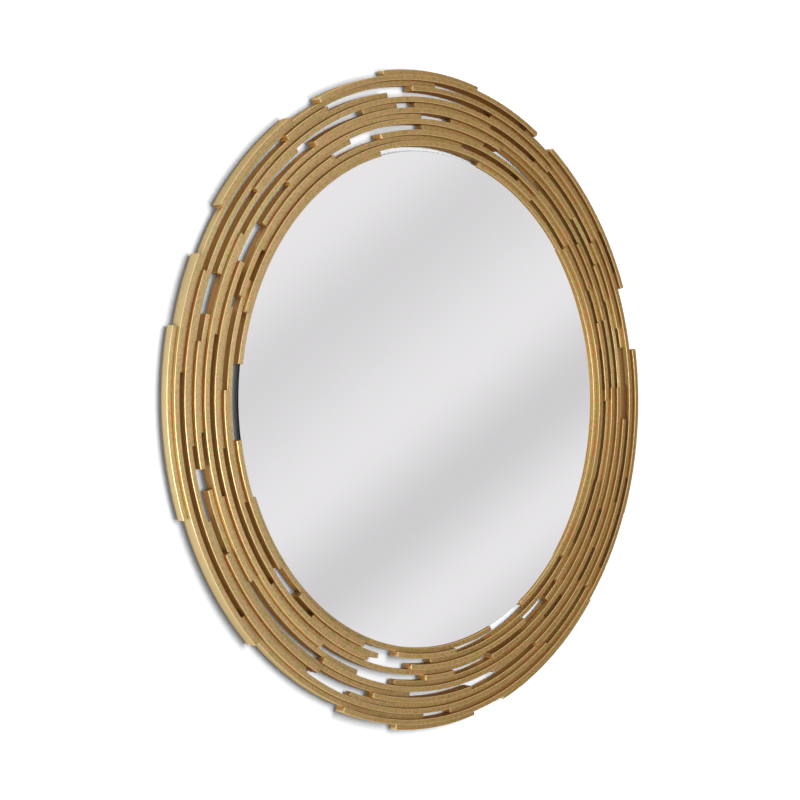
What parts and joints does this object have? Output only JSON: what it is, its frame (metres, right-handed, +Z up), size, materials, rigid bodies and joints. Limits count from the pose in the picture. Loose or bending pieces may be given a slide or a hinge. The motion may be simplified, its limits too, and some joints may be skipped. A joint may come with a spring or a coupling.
{
  "type": "wall mirror",
  "caption": "Round wall mirror in a wide frame of concentric curved gilded strips, raised and low by turns and broken by gaps, hung by ring hangers behind.",
  "frame": {"origin": "on the wall, behind the centre of the round glass", "axes": "+X to the right of someone facing the mirror, +Y into the wall, +Z up; the glass faces -Y"},
  "size_m": [1.0662, 0.025, 1.0662],
  "materials": {
    "gilded_raised": "aged gold leaf over red bole, satin, worn at the edges",
    "gilded_low": "aged gold leaf over red bole, satin, worn at the edges",
    "mirror": "polished, silvered behind",
    "hardboard": "black paint, matt",
    "zinc_steel": "zinc plated",
    "brassed_steel": "brass plated, satin",
    "bumper": "matt"
  },
  "bodies": {
    "mirror": {"ring_01_strip_1": "gilded_low", "ring_01_strip_2": "gilded_low", "ring_01_strip_3": "gilded_low", "ring_02_strip_1": "gilded_raised", "ring_02_strip_6": "gilded_raised", "ring_03_strip_1": "gilded_low", "ring_03_strip_3": "gilded_low", "ring_03_strip_5": "gilded_low", "ring_03_strip_6": "gilded_low", "ring_04_strip_3": "gilded_raised", "ring_04_strip_4": "gilded_raised", "ring_04_strip_5": "gilded_raised", "ring_04_strip_6": "gilded_raised", "ring_05_strip_1": "gilded_low", "ring_05_strip_2": "gilded_low", "ring_06_strip_2": "gilded_raised", "ring_06_strip_4": "gilded_raised", "ring_06_strip_5": "gilded_raised", "ring_07_strip_1": "gilded_low", "ring_07_strip_3": "gilded_low", "ring_07_strip_4": "gilded_low", "ring_07_strip_5": "gilded_low", "ring_08_strip_2": "gilded_raised", "ring_08_strip_3": "gilded_raised", "ring_08_strip_4": "gilded_raised", "ring_09_strip_1": "gilded_low", "ring_09_strip_2": "gilded_low", "ring_09_strip_3": "gilded_low", "ring_10_strip_2": "gilded_raised", "ring_10_strip_4": "gilded_raised", "ring_10_strip_6": "gilded_raised", "ring_11_strip_1": "gilded_low", "ring_11_strip_2": "gilded_low", "ring_11_strip_3": "gilded_low", "ring_11_strip_4": "gilded_low", "ring_12_strip_1": "gilded_raised", "ring_12_strip_3": "gilded_raised", "ring_13_strip_2": "gilded_low", "ring_13_strip_3": "gilded_low", "ring_13_strip_4": "gilded_low", "ring_13_strip_5": "gilded_low", "ring_14_strip_1": "gilded_raised", "ring_14_strip_2": "gilded_raised", "ring_14_strip_3": "gilded_raised", "ring_14_strip_5": "gilded_raised", "ring_15_strip_1": "gilded_low", "ring_15_strip_2": "gilded_low", "ring_15_strip_4": "gilded_low", "mirror_glass": "mirror", "backing_board": "hardboard", "retaining_clips": "zinc_steel", "clip_screws": "zinc_steel", "hanger_strap_left": "brassed_steel", "hanger_strap_right": "brassed_steel", "hanger_screws": "brassed_steel", "wall_bumpers": "bumper", "short_raised_strips": "gilded_raised", "short_low_strips": "gilded_low"},
    "ring_left": {"hanger_ring_left": "brassed_steel"},
    "ring_right": {"hanger_ring_right": "brassed_steel"}
  },
  "joints": [
    {"name": "ring_left_hinge", "type": "hinge", "parent": "mirror", "child": "ring_left", "pos_m": [-0.34212, -0.0026, 0.26775], "axis": [1, 0, 0], "range_deg": [0, 180]},
    {"name": "ring_right_hinge", "type": "hinge", "parent": "mirror", "child": "ring_right", "pos_m": [0.34212, -0.0026, 0.26775], "axis": [1, 0, 0], "range_deg": [0, 180]}
  ]
}
